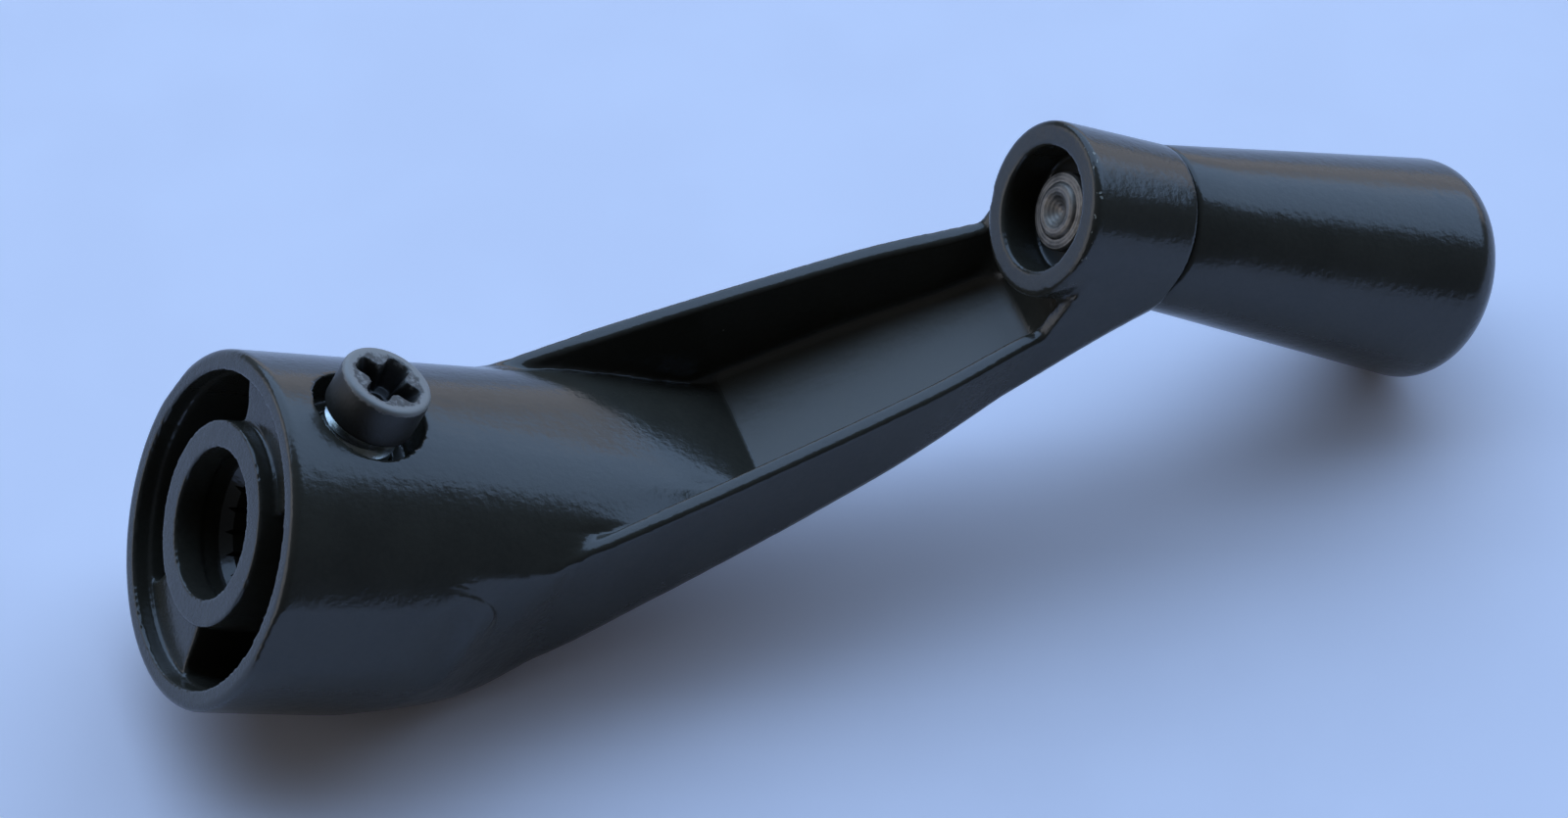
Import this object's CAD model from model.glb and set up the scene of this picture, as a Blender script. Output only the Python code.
"""Crank handle for a casement window's winding gear.

One enamelled casting carries a hollow hub, a channelled arm and a knob boss. A clamp screw sits
in the hub and a flared knob spins on a riveted pin. Sizes are in millimetres, in the part's own
frame: the origin is on the bore's axis in the hub's mouth, +X runs towards the knob and +Z
points from the bore to the clamp screw.
"""

import logging
import math
from collections.abc import Callable
from dataclasses import dataclass
from enum import Enum

import bmesh
import bpy
from mathutils import Matrix, Vector


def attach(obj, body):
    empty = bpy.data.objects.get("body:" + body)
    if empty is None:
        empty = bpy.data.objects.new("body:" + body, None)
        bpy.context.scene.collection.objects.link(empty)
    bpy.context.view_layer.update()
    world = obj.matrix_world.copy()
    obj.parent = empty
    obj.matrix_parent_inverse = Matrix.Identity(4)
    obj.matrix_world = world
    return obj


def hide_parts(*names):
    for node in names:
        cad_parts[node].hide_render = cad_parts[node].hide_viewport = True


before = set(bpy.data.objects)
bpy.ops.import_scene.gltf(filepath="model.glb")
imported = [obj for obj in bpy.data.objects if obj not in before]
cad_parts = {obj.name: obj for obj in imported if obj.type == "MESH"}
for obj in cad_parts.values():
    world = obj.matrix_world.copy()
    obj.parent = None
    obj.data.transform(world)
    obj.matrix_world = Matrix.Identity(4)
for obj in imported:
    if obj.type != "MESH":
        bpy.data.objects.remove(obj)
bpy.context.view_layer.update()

MM = 0.001
TOUCH = 1e-3
PARKED = 500.0  # How far set points wait out of the way of later selections.

log = logging.getLogger("crank_handle")

Colour = tuple[float, float, float]
Triple = tuple[float, float, float]


class Join(Enum):
    """How one solid is combined with another."""

    ADD = "UNION"
    CUT = "DIFFERENCE"
    KEEP_COMMON = "INTERSECT"


class Side(Enum):
    """The two sides of the plane of symmetry."""

    LEFT = -1
    RIGHT = 1


def ease(start: float, end: float, x: float) -> float:
    """Smooth step between two places.

    Args:
        start: Where the step begins.
        end: Where the step is complete.
        x: The place asked about.

    Returns:
        A share from 0 before the start to 1 after the end.
    """
    t = min(max((x - start) / (end - start), 0.0), 1.0)
    return t * t * (3 - 2 * t)


def tan_deg(angle: float) -> float:
    """Tangent of an angle in degrees."""
    return math.tan(math.radians(angle))


def spread(start: float, end: float, count: int) -> list[float]:
    """Evenly spaced values from start to end."""
    return [start + (end - start) * i / (count - 1) for i in range(count)]


def deselect_all() -> None:
    """Leave edit mode and select nothing."""
    if bpy.context.mode != "OBJECT":
        bpy.ops.object.mode_set(mode="OBJECT")
    bpy.ops.object.select_all(action="DESELECT")


class Workpiece:
    """One mesh on the bench, shaped with lengths in millimetres."""

    def __init__(self, obj: bpy.types.Object) -> None:
        """Take an object onto the bench."""
        self.obj = obj

    @classmethod
    def from_active(cls) -> "Workpiece":
        """The primitive that was just added, with its place put into its mesh."""
        bpy.ops.object.transform_apply(location=True, rotation=True, scale=True)
        return cls(bpy.context.active_object)

    @classmethod
    def cone(
        cls, start: Vector, end: Vector, radius: float, end_radius: float, sides: int = 96
    ) -> "Workpiece":
        """Closed cone frustum.

        Args:
            start: Middle of the first face.
            end: Middle of the last face.
            radius: Radius at the start.
            end_radius: Radius at the end.
            sides: Number of flats around it.

        Returns:
            The new workpiece.
        """
        deselect_all()
        run = end - start
        bpy.ops.mesh.primitive_cone_add(
            vertices=sides,
            radius1=radius * MM,
            radius2=end_radius * MM,
            depth=run.length * MM,
            location=(start + end) * 0.5 * MM,
            rotation=run.to_track_quat("Z", "Y").to_euler(),
        )
        return cls.from_active()

    @classmethod
    def cylinder(cls, start: Vector, end: Vector, radius: float, sides: int = 96) -> "Workpiece":
        """Closed cylinder between the middles of its two faces."""
        return cls.cone(start, end, radius, radius, sides)

    @classmethod
    def along_x(
        cls, radius: float, start: float, end: float, z: float = 0.0, sides: int = 96
    ) -> "Workpiece":
        """Closed cylinder along X at height z on the plane of symmetry."""
        return cls.cylinder(Vector((start, 0, z)), Vector((end, 0, z)), radius, sides)

    @classmethod
    def box(cls, low: Triple, high: Triple) -> "Workpiece":
        """Box between two corners.

        Args:
            low: The corner with the lowest coordinates.
            high: The opposite corner.

        Returns:
            The new workpiece.
        """
        deselect_all()
        first, last = Vector(low), Vector(high)
        bpy.ops.mesh.primitive_cube_add(
            size=1.0, location=(first + last) * 0.5 * MM, scale=(last - first) * MM
        )
        return cls.from_active()

    @classmethod
    def disc(cls, centre: Vector, facing: Vector, radius: float, sides: int = 96) -> "Workpiece":
        """Flat filled disc.

        Args:
            centre: Its middle.
            facing: The direction it faces.
            radius: Its radius.
            sides: Number of flats around it.

        Returns:
            The new workpiece.
        """
        deselect_all()
        bpy.ops.mesh.primitive_circle_add(
            vertices=sides,
            radius=radius * MM,
            fill_type="NGON",
            location=centre * MM,
            rotation=facing.to_track_quat("Z", "Y").to_euler(),
        )
        return cls.from_active()

    def edit(self) -> None:
        """Open this mesh alone in edit mode with nothing selected."""
        if bpy.context.mode == "EDIT_MESH" and bpy.context.active_object is self.obj:
            return
        deselect_all()
        self.obj.select_set(True)
        bpy.context.view_layer.objects.active = self.obj
        bpy.ops.object.mode_set(mode="EDIT")

    def pick_all(self) -> None:
        """Select the whole mesh."""
        self.edit()
        bpy.ops.mesh.select_all(action="SELECT")

    def pick_points(self, test: Callable[[Vector], bool]) -> None:
        """Select vertices.

        Args:
            test: Says of a place in millimetres whether it is selected.
        """
        self.edit()
        mesh = bmesh.from_edit_mesh(self.obj.data)
        mesh.select_mode = {"VERT"}
        for vert in mesh.verts:
            vert.select_set(test(vert.co / MM))
        mesh.select_flush_mode()
        bmesh.update_edit_mesh(self.obj.data, loop_triangles=False, destructive=False)
        bpy.context.tool_settings.mesh_select_mode = (True, False, False)

    def pick_edges(self, test: Callable[[Vector, Vector, float], bool]) -> None:
        """Select edges.

        Args:
            test: Says whether an edge is selected, from its two ends in millimetres and the
                angle between its faces in degrees.
        """
        self.edit()
        bpy.context.tool_settings.mesh_select_mode = (False, True, False)
        mesh = bmesh.from_edit_mesh(self.obj.data)
        mesh.select_mode = {"EDGE"}
        for part in (*mesh.faces, *mesh.edges, *mesh.verts):
            part.select = False
        for edge in mesh.edges:
            bend = math.degrees(edge.calc_face_angle(0.0))
            edge.select_set(test(edge.verts[0].co / MM, edge.verts[1].co / MM, bend))
        bmesh.update_edit_mesh(self.obj.data, loop_triangles=False, destructive=False)

    def turn(self, angle: float, axis: str, about: Triple = (0, 0, 0)) -> None:
        """Turn the whole piece about a line through a place.

        Args:
            angle: How far, in degrees.
            axis: "X", "Y" or "Z".
            about: A place on the line.
        """
        deselect_all()
        self.obj.select_set(True)
        bpy.context.view_layer.objects.active = self.obj
        centre = Matrix.Translation(Vector(about) * MM)
        rotation = Matrix.Rotation(math.radians(angle), 4, axis)
        self.obj.matrix_world = centre @ rotation @ centre.inverted()
        bpy.ops.object.transform_apply(location=True, rotation=True, scale=True)

    def shift(self, by: Triple) -> None:
        """Move the selection."""
        bpy.ops.transform.translate(value=Vector(by) * MM)

    def scale(self, factors: Triple, about: Triple) -> None:
        """Scale the selection about a place."""
        bpy.ops.transform.resize(value=factors, center_override=Vector(about) * MM)

    def bevel(self, width: float, segments: int) -> None:
        """Round the selected edges."""
        bpy.ops.mesh.bevel(offset=width * MM, segments=segments, affect="EDGES")

    def slice_at(self, place: Triple, facing: Triple) -> None:
        """Cut new edges across the whole mesh where a plane meets it."""
        self.pick_all()
        bpy.ops.mesh.bisect(plane_co=Vector(place) * MM, plane_no=facing)

    def trim(self, place: Triple, facing: Triple) -> None:
        """Cut away everything on one side of a plane and close the cut.

        Args:
            place: A place on the plane.
            facing: The direction of the side that goes.
        """
        self.pick_all()
        bpy.ops.mesh.bisect(
            plane_co=Vector(place) * MM, plane_no=facing, use_fill=True, clear_outer=True
        )

    def mend(self) -> None:
        """Merge doubled points and turn every face outwards."""
        self.pick_all()
        bpy.ops.mesh.remove_doubles(threshold=0.002 * MM)
        bpy.ops.mesh.select_all(action="SELECT")
        bpy.ops.mesh.normals_make_consistent(inside=False)

    def lathe(self, steps: list[tuple[float, float]], axis_z: float) -> None:
        """Draw a round piece out along +X, one ring at a time, from a selected disc.

        Args:
            steps: Each new ring's x and radius; the first entry is the disc itself.
            axis_z: Height of the turning axis.
        """
        self.pick_all()
        for (x, radius), (next_x, next_radius) in zip(steps, steps[1:]):
            bpy.ops.mesh.extrude_region_move()
            self.shift((next_x - x, 0, 0))
            share = next_radius / radius
            self.scale((1, share, share), (next_x, 0, axis_z))

    def combine(self, other: "Workpiece", join: Join) -> None:
        """Join another solid to this one and drop it.

        Args:
            other: The solid that is added, cut away or kept in common.
            join: Which of the three.
        """
        deselect_all()
        change = self.obj.modifiers.new(join.name.title(), "BOOLEAN")
        change.operation = join.value
        change.solver = "EXACT"
        change.object = other.obj
        self.apply(change)
        bpy.data.objects.remove(other.obj, do_unlink=True)

    def apply(self, change: bpy.types.Modifier) -> None:
        """Apply one modifier.

        Args:
            change: The modifier, already on this workpiece.
        """
        deselect_all()
        self.obj.select_set(True)
        bpy.context.view_layer.objects.active = self.obj
        bpy.ops.object.modifier_apply(modifier=change.name)

    def modify(self, kind: str, **settings: object) -> None:
        """Add a modifier and apply it.

        Args:
            kind: Its type.
            **settings: Its settings, by name.
        """
        deselect_all()
        change = self.obj.modifiers.new(kind.title(), kind)
        for name, value in settings.items():
            setattr(change, name, value)
        self.apply(change)

    def soften(self, grain: float, passes: int, most_faces: int) -> None:
        """Recast the solid as one skin whose edges and inner corners are rounded as if dipped.

        Args:
            grain: Size of the skin's cells.
            passes: How often the skin is relaxed.
            most_faces: Largest number of triangles to keep.
        """
        self.modify("REMESH", mode="VOXEL", voxel_size=grain * MM, use_smooth_shade=True)
        self.modify("SMOOTH", factor=0.5, iterations=passes)
        triangles = 2 * len(self.obj.data.polygons)
        if triangles > most_faces:
            self.modify("DECIMATE", ratio=most_faces / triangles)

    def relax(self, test: Callable[[Vector], bool], repeats: int) -> None:
        """Smooth a part of the skin.

        Args:
            test: Says of a place in millimetres whether it is smoothed.
            repeats: How often it is smoothed.
        """
        self.pick_points(test)
        bpy.ops.mesh.vertices_smooth(factor=0.5, repeat=repeats)
        deselect_all()

    def settle(self, drop: Callable[[Vector], float]) -> None:
        """Lower a part of the skin.

        Args:
            drop: Gives how far a place is lowered, both in millimetres.
        """
        self.edit()
        mesh = bmesh.from_edit_mesh(self.obj.data)
        for vert in mesh.verts:
            vert.co.z -= drop(vert.co / MM) * MM
        bmesh.update_edit_mesh(self.obj.data)
        deselect_all()

    def triangles(self) -> int:
        """Number of triangles in the mesh."""
        return sum(len(face.vertices) - 2 for face in self.obj.data.polygons)


@dataclass(frozen=True)
class Dressing:
    """What a finished piece is called, rides on, stands for and is painted with."""

    name: str
    body: str
    node: str
    slot: str
    finish: bpy.types.Material

    def put_on(self, piece: Workpiece, crease: float = 35.0) -> bpy.types.Object:
        """Name, smooth and paint a piece and tie it to its body.

        Args:
            piece: The finished mesh.
            crease: Largest angle in degrees that is shaded smooth.

        Returns:
            The finished object.
        """
        deselect_all()
        obj = piece.obj
        obj.name = self.name
        obj.data.name = self.name
        obj.select_set(True)
        bpy.context.view_layer.objects.active = obj
        bpy.ops.object.shade_smooth_by_angle(angle=math.radians(crease))
        obj.data.materials.clear()
        obj.data.materials.append(self.finish)
        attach(obj, self.body)
        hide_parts(self.node)
        log.info("%s: %d triangles", self.name, piece.triangles())
        return obj


class Signal:
    """A number that varies over a surface; arithmetic on it adds Math nodes."""

    def __init__(self, bench: "NodeBench", socket: bpy.types.NodeSocket) -> None:
        """Wrap one output socket."""
        self.bench = bench
        self.socket = socket

    def _math(self, operation: str, *values: "Signal | float") -> "Signal":
        """Add one Math node.

        Args:
            operation: What it works out.
            *values: What it works on, in order.

        Returns:
            Its result.
        """
        sockets = {i: value for i, value in enumerate(values)}
        made = self.bench.node("ShaderNodeMath", {"operation": operation}, sockets)
        return Signal(self.bench, made.outputs[0])

    def __add__(self, other: "Signal | float") -> "Signal":
        """Sum."""
        return self._math("ADD", self, other)

    __radd__ = __add__

    def __mul__(self, other: "Signal | float") -> "Signal":
        """Product."""
        return self._math("MULTIPLY", self, other)

    __rmul__ = __mul__

    def __sub__(self, other: "Signal | float") -> "Signal":
        """Difference."""
        return self._math("SUBTRACT", self, other)

    def __rsub__(self, other: float) -> "Signal":
        """Difference from a number."""
        return self._math("SUBTRACT", other, self)

    def __truediv__(self, other: "Signal | float") -> "Signal":
        """Quotient."""
        return self._math("DIVIDE", self, other)

    def __pow__(self, other: float) -> "Signal":
        """Power."""
        return self._math("POWER", self, other)

    def __abs__(self) -> "Signal":
        """Size without sign."""
        return self._math("ABSOLUTE", self)

    def most(self, other: "Signal | float") -> "Signal":
        """The greater of two."""
        return self._math("MAXIMUM", self, other)

    def least(self, other: "Signal | float") -> "Signal":
        """The lesser of two."""
        return self._math("MINIMUM", self, other)

    def root(self) -> "Signal":
        """Square root."""
        return self._math("SQRT", self)

    def sine(self) -> "Signal":
        """Sine of the value in radians."""
        return self._math("SINE", self)

    def rise(self, low: float, high: float) -> "Signal":
        """Smooth step over the value.

        Args:
            low: Where the share is 0.
            high: Where the share is 1.

        Returns:
            The share.
        """
        made = self.bench.node(
            "ShaderNodeMapRange",
            {"interpolation_type": "SMOOTHSTEP"},
            {"Value": self, "From Min": low, "From Max": high},
        )
        return Signal(self.bench, made.outputs["Result"])


class NodeBench:
    """A node tree and the one way in which nodes are added to it."""

    def __init__(self, tree: bpy.types.NodeTree, output_kind: str) -> None:
        """Clear a tree down to one new output node.

        Args:
            tree: The tree.
            output_kind: The type of its output node.
        """
        self.tree = tree
        self.tree.nodes.clear()
        self.output = self.node(output_kind)

    def node(
        self,
        kind: str,
        settings: dict[str, object] | None = None,
        sockets: dict[str | int, object] | None = None,
    ) -> bpy.types.Node:
        """Add one node.

        Args:
            kind: Its type.
            settings: Its own settings, set before its sockets.
            sockets: Values or links for its inputs, by name or by place.

        Returns:
            The new node.
        """
        made = self.tree.nodes.new(kind)
        for name, value in (settings or {}).items():
            setattr(made, name, value)
        for key, value in (sockets or {}).items():
            self.feed(made.inputs[key], value)
        return made

    def feed(self, socket: bpy.types.NodeSocket, value: object) -> None:
        """Give an input its link or its own value.

        Args:
            socket: The input.
            value: A signal or an output to link, or else the value.
        """
        if isinstance(value, Signal):
            self.tree.links.new(value.socket, socket)
        elif isinstance(value, bpy.types.NodeSocket):
            self.tree.links.new(value, socket)
        else:
            socket.default_value = value

    def finish_with(self, shader: bpy.types.Node) -> None:
        """Link a shader to the tree's output."""
        self.feed(self.output.inputs["Surface"], shader.outputs[0])


class ShaderBench(NodeBench):
    """A new material and the patterns it is made of."""

    def __init__(self, name: str) -> None:
        """Start a material with only its output.

        Args:
            name: The material's name.
        """
        self.material = bpy.data.materials.new(name)
        self.material.use_nodes = True
        super().__init__(self.material.node_tree, "ShaderNodeOutputMaterial")

    def place(self) -> bpy.types.NodeSocket:
        """Place on the piece, in the part's own frame.

        Returns:
            A vector in millimetres.
        """
        coordinates = self.node("ShaderNodeTexCoord")
        scaled = self.node(
            "ShaderNodeVectorMath",
            {"operation": "SCALE"},
            {0: coordinates.outputs["Object"], "Scale": 1 / MM},
        )
        return scaled.outputs[0]

    def stretched(self, place: bpy.types.NodeSocket, factors: Triple) -> bpy.types.NodeSocket:
        """A place multiplied along each axis."""
        made = self.node("ShaderNodeVectorMath", {"operation": "MULTIPLY"}, {0: place, 1: factors})
        return made.outputs[0]

    def parts(self, place: bpy.types.NodeSocket) -> tuple[Signal, Signal, Signal]:
        """The three coordinates of a place."""
        split = self.node("ShaderNodeSeparateXYZ", None, {0: place})
        return tuple(Signal(self, socket) for socket in split.outputs)

    def noise(
        self, place: bpy.types.NodeSocket, size: float, detail: float = 2.0, rough: float = 0.5
    ) -> Signal:
        """Soft random pattern around 0.5.

        Args:
            place: Where it is read.
            size: Width of its blots in millimetres.
            detail: How many finer layers it has.
            rough: How strong the finer layers are.

        Returns:
            The pattern's value.
        """
        made = self.node(
            "ShaderNodeTexNoise",
            None,
            {"Vector": place, "Scale": 1 / size, "Detail": detail, "Roughness": rough},
        )
        return Signal(self, made.outputs["Fac"])

    def specks(self, place: bpy.types.NodeSocket, spacing: float, radius: float) -> Signal:
        """Small round dots, one or none in each cell of a random grid.

        Args:
            place: Where it is read.
            spacing: Mean distance between cells in millimetres.
            radius: Radius of a dot in millimetres.

        Returns:
            1 on a dot and 0 off it.
        """
        made = self.node(
            "ShaderNodeTexVoronoi", {"feature": "F1"}, {"Vector": place, "Scale": 1 / spacing}
        )
        distance = Signal(self, made.outputs["Distance"]) * spacing
        chance = self.node("ShaderNodeSeparateColor", None, {0: made.outputs["Color"]})
        reach = Signal(self, chance.outputs[0]) * radius
        return (reach - distance).rise(0.0, radius * 0.25)

    def blend(self, share: Signal, first: object, second: object) -> bpy.types.NodeSocket:
        """Mix two colours.

        Args:
            share: 0 for the first alone and 1 for the second alone.
            first: A colour, or an output that gives one.
            second: A colour, or an output that gives one.

        Returns:
            The mixed colour.
        """
        made = self.node("ShaderNodeMix", {"data_type": "RGBA"}, {0: share, 6: first, 7: second})
        return made.outputs[2]

    def bump(self, height: Signal, depth: float) -> bpy.types.NodeSocket:
        """Normal from a height pattern.

        Args:
            height: The pattern, from 0 to 1.
            depth: How deep its full range is in millimetres.

        Returns:
            The normal.
        """
        sockets = {"Strength": 1.0, "Distance": depth * MM, "Height": height}
        return self.node("ShaderNodeBump", None, sockets).outputs["Normal"]

    def surface(self, sockets: dict[str, object]) -> bpy.types.Material:
        """Finish the material with one principled surface."""
        self.finish_with(self.node("ShaderNodeBsdfPrincipled", None, sockets))
        return self.material


def rgba(colour: Colour) -> tuple[float, float, float, float]:
    """A colour with full cover."""
    return (*colour, 1.0)


@dataclass(frozen=True)
class BronzeEnamel:
    """Glossy dark bronze enamel with orange peel, dust and small chips along its sharp rims."""

    name: str
    colour: Colour = (0.047, 0.043, 0.032)
    deep_colour: Colour = (0.037, 0.034, 0.026)
    chip_colour: Colour = (0.34, 0.33, 0.27)
    gloss: float = 0.19
    cloud_size: float = 5.0
    grain_size: float = 0.35
    peel_size: float = 0.34
    peel_depth: float = 0.024
    dust_spacing: float = 4.5
    dust_radius: float = 0.11
    chipped_rim: Triple | None = None
    chipped_towards: tuple[float, float] = (-0.587, 0.81)
    nick_size: float = 0.36
    filmed_floor: Triple | None = None
    film_colour: Colour = (0.135, 0.120, 0.095)
    film_dulling: float = 0.16

    def chips(self, bench: ShaderBench, place: bpy.types.NodeSocket) -> Signal:
        """Small bright nicks along one quarter of the knob boss's front rim.

        Args:
            bench: The material being made.
            place: Place on the piece in millimetres.

        Returns:
            1 where the paint is nicked.
        """
        rim_x, rim_z, rim_radius = self.chipped_rim
        towards_y, towards_z = self.chipped_towards
        x, y, z = bench.parts(place)
        radius = (y * y + (z - rim_z) ** 2.0).root()
        off_rim = ((x - rim_x) ** 2.0 + (radius - rim_radius) ** 2.0).root()
        near = 1 - off_rim.rise(0.1, 0.6)
        on_quarter = (((z - rim_z) * towards_z + y * towards_y) / radius).rise(0.5, 0.85)
        ragged = bench.noise(place, self.nick_size, 1.0, 0.5)
        return (ragged + near * on_quarter * 0.2).rise(0.81, 0.87) * near.rise(0.05, 0.4)

    def film(self, bench: ShaderBench, place: bpy.types.NodeSocket) -> Signal:
        """Thin dull film on the channel's sloping floor.

        Args:
            bench: The material being made.
            place: Place on the piece in millimetres.

        Returns:
            1 on the floor, fading up its rounded foot.
        """
        start_x, start_z, slope = self.filmed_floor
        x, _, z = bench.parts(place)
        above = z - (x - start_x) * slope - start_z
        on_floor = above.rise(-0.7, -0.4) * (1 - above.rise(0.15, 0.7))
        return on_floor * x.rise(start_x, start_x + 0.6)

    def make(self) -> bpy.types.Material:
        """Build the material.

        Returns:
            The finished material.
        """
        bench = ShaderBench(self.name)
        place = bench.place()
        clouds = bench.noise(place, self.cloud_size, 3.0, 0.6)
        grain = bench.noise(place, self.grain_size, 2.0)
        shade = (clouds * 0.7 + grain * 0.3).rise(0.3, 0.7)
        colour = bench.blend(shade, rgba(self.deep_colour), rgba(self.colour))
        dust = bench.specks(place, self.dust_spacing, self.dust_radius)
        colour = bench.blend(dust * 0.5, colour, rgba(self.chip_colour))
        peel = bench.noise(bench.stretched(place, (0.8, 1.0, 1.0)), self.peel_size, 2.0, 0.5)
        swell = bench.noise(place, self.peel_size * 3.5, 1.0)
        height = peel * 0.75 + swell * 0.9
        roughness = self.gloss + (clouds - 0.5) * 0.12 + dust * 0.3
        if self.filmed_floor is not None:
            film = self.film(bench, place)
            colour = bench.blend(film * (0.55 + clouds * 0.4), colour, rgba(self.film_colour))
            roughness = roughness + film * self.film_dulling
        if self.chipped_rim is not None:
            nicks = self.chips(bench, place)
            colour = bench.blend(nicks * 0.85, colour, rgba(self.chip_colour))
            roughness = roughness + nicks * 0.25
            height = height - nicks * 0.6
        return bench.surface(
            {
                "Base Color": colour,
                "Roughness": roughness,
                "IOR": 1.45,
                "Normal": bench.bump(height, self.peel_depth),
            }
        )


@dataclass(frozen=True)
class WornEnamel:
    """Thinner, duller enamel on the screw's head, rubbed through along its edges."""

    name: str
    axis_x: float
    top_z: float
    rim_radius: float
    colour: Colour = (0.034, 0.031, 0.025)
    rubbed_colour: Colour = (0.24, 0.225, 0.20)
    hollow_colour: Colour = (0.010, 0.009, 0.008)
    recess_radius: float = 2.5

    def make(self) -> bpy.types.Material:
        """Build the material.

        Returns:
            The finished material.
        """
        bench = ShaderBench(self.name)
        place = bench.place()
        x, y, z = bench.parts(place)
        radius = ((x - self.axis_x) ** 2.0 + y * y).root()
        at_rim = 1 - abs(radius - self.rim_radius + 0.25).rise(0.1, 0.6)
        at_top = z.rise(self.top_z - 0.55, self.top_z - 0.05)
        ragged = bench.noise(place, 0.5, 3.0, 0.6)
        worn = (at_rim * at_top * 0.45 + at_top * 0.25 + ragged - 0.55).rise(0.12, 0.42)
        colour = bench.blend(worn, rgba(self.colour), rgba(self.rubbed_colour))
        in_recess = 1 - radius.rise(self.recess_radius, self.recess_radius + 0.2)
        hollow = (1 - z.rise(self.top_z - 0.8, self.top_z - 0.25)) * in_recess
        colour = bench.blend(hollow, colour, rgba(self.hollow_colour))
        pits = bench.noise(place, 0.3, 2.0, 0.6)
        return bench.surface(
            {
                "Base Color": colour,
                "Roughness": 0.34 + ragged * 0.2,
                "IOR": 1.5,
                "Normal": bench.bump(pits * 0.6 + worn * 0.4, 0.03),
            }
        )


@dataclass(frozen=True)
class ZincPlate:
    """Bright zinc plating with a faint blue cast."""

    name: str
    colour: Colour = (0.62, 0.66, 0.66)
    stain: Colour = (0.40, 0.42, 0.36)

    def make(self) -> bpy.types.Material:
        """Build the material.

        Returns:
            The finished material.
        """
        bench = ShaderBench(self.name)
        place = bench.place()
        cloud = bench.noise(place, 1.1, 3.0, 0.6)
        colour = bench.blend(cloud.rise(0.35, 0.65), rgba(self.stain), rgba(self.colour))
        marks = bench.noise(bench.stretched(place, (1.0, 1.0, 4.0)), 0.4, 2.0)
        return bench.surface(
            {
                "Base Color": colour,
                "Metallic": 1.0,
                "Roughness": 0.22 + cloud * 0.16,
                "Normal": bench.bump(marks, 0.012),
            }
        )


@dataclass(frozen=True)
class RivetedSteel:
    """Dull brownish steel, turned in rings by the riveting tool and stained by the enamel."""

    name: str
    axis_z: float
    colour: Colour = (0.23, 0.20, 0.165)
    stain: Colour = (0.10, 0.09, 0.075)
    ring_turn: float = 24.0

    def make(self) -> bpy.types.Material:
        """Build the material.

        Returns:
            The finished material.
        """
        bench = ShaderBench(self.name)
        place = bench.place()
        _, y, z = bench.parts(place)
        radius = (y * y + (z - self.axis_z) ** 2.0).root()
        smear = bench.noise(place, 0.9, 3.0, 0.6)
        rings = (radius * self.ring_turn + smear * 3.0).sine() * 0.5 + 0.5
        bare = (smear + rings * 0.15).rise(0.4, 0.75)
        colour = bench.blend(bare, rgba(self.stain), rgba(self.colour))
        return bench.surface(
            {
                "Base Color": colour,
                "Metallic": 0.75,
                "Roughness": 0.36 + smear * 0.16,
                "Normal": bench.bump(rings * 0.5 + smear * 0.5, 0.016),
            }
        )


@dataclass(frozen=True)
class PaperSheet:
    """Matt pale sheet with a faint mottle."""

    name: str
    colour: Colour = (0.84, 0.86, 0.95)
    shaded: Colour = (0.82, 0.84, 0.93)
    seen_colour: Colour = (1.12, 1.08, 1.16)
    seen_shaded: Colour = (1.09, 1.05, 1.13)

    def make(self) -> bpy.types.Material:
        """Build the material; the sheet's underside is clear, so it never hides the part.

        Returns:
            The finished material.
        """
        bench = ShaderBench(self.name)
        place = bench.place()
        mottle = bench.noise(place, 14.0, 3.0, 0.55)
        share = mottle.rise(0.35, 0.65)
        lit = bench.blend(share, rgba(self.shaded), rgba(self.colour))
        seen = bench.blend(share, rgba(self.seen_shaded), rgba(self.seen_colour))
        path = bench.node("ShaderNodeLightPath").outputs
        camera, glossy, clear_ray = (
            Signal(bench, path[f"Is {kind} Ray"]) for kind in ("Camera", "Glossy", "Transmission")
        )
        colour = bench.blend((camera + glossy + clear_ray).least(1.0), lit, seen)
        matt = bench.node("ShaderNodeBsdfDiffuse", None, {"Color": colour, "Roughness": 0.3})
        clear = bench.node("ShaderNodeBsdfTransparent")
        facing = bench.node("ShaderNodeNewGeometry").outputs["Backfacing"]
        mixed = bench.node(
            "ShaderNodeMixShader", None, {0: facing, 1: matt.outputs[0], 2: clear.outputs[0]}
        )
        bench.finish_with(mixed)
        return bench.material


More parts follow.
